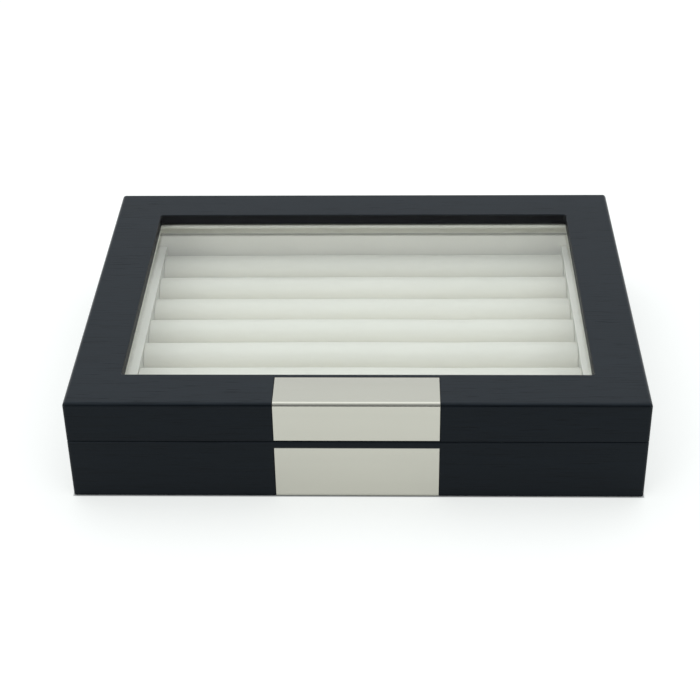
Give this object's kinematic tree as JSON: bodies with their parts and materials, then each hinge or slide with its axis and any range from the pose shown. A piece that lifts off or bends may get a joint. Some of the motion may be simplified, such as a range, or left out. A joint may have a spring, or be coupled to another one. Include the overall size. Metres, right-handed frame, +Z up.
{
  "type": "cufflink display box",
  "caption": "Low veneered case with a glazed lid on rear stop hinges, metal plates on its front, and padded velvet rolls that hold cufflinks upright under the glass.",
  "frame": {"origin": "on the table, under the middle of the case", "axes": "+X across the box to its right, -Y to its front, +Z up"},
  "size_m": [0.28, 0.2161, 0.0555],
  "materials": {
    "black_veneer": "black stained veneer with fine straight grain across the box, satin lacquer",
    "bottom_board": "plain fibreboard",
    "window_glass": "clear, ground edges",
    "nickel_plate": "nickel, very finely brushed along its length, bevelled edges",
    "hinge_steel": "nickel plated",
    "screw_steel": "nickel plated",
    "lining_velvet": "ivory velvet over card",
    "roll_velvet": "ivory velvet over foam",
    "black_felt": "short black felt"
  },
  "bodies": {
    "base": {"base_floor_board": "bottom_board", "underside_felt": "black_felt", "base_plate": "nickel_plate", "tray_floor": "lining_velvet", "ledge_left": "lining_velvet", "ledge_right": "lining_velvet", "base_front_wall": "black_veneer", "base_back_wall": "black_veneer", "base_left_wall": "black_veneer", "base_right_wall": "black_veneer", "base_lining_front": "lining_velvet", "base_lining_back": "lining_velvet", "base_lining_left": "lining_velvet", "base_lining_right": "lining_velvet", "roll_1": "roll_velvet", "roll_2": "roll_velvet", "roll_3": "roll_velvet", "roll_4": "roll_velvet", "roll_5": "roll_velvet", "roll_6": "roll_velvet", "roll_7": "roll_velvet", "roll_8": "roll_velvet", "hinge_left_base_leaf": "hinge_steel", "hinge_right_base_leaf": "hinge_steel", "hinge_pins": "hinge_steel", "base_hinge_screws": "screw_steel"},
    "lid": {"lid_window_board": "black_veneer", "glass_pane": "window_glass", "lid_plate": "nickel_plate", "lid_front_wall": "black_veneer", "lid_back_wall": "black_veneer", "lid_left_wall": "black_veneer", "lid_right_wall": "black_veneer", "lid_border_front": "lining_velvet", "lid_border_back": "lining_velvet", "lid_border_left": "lining_velvet", "lid_border_right": "lining_velvet", "lid_lining_front": "lining_velvet", "lid_lining_back": "lining_velvet", "lid_lining_left": "lining_velvet", "lid_lining_right": "lining_velvet", "hinge_left_lid_leaf": "hinge_steel", "hinge_right_lid_leaf": "hinge_steel", "lid_hinge_screws": "screw_steel"}
  },
  "joints": [
    {"name": "lid_hinge", "type": "hinge", "parent": "base", "child": "lid", "pos_m": [0, 0.1074, 0.03305], "axis": [-1, 0, 0], "range_deg": [0, 95]}
  ]
}
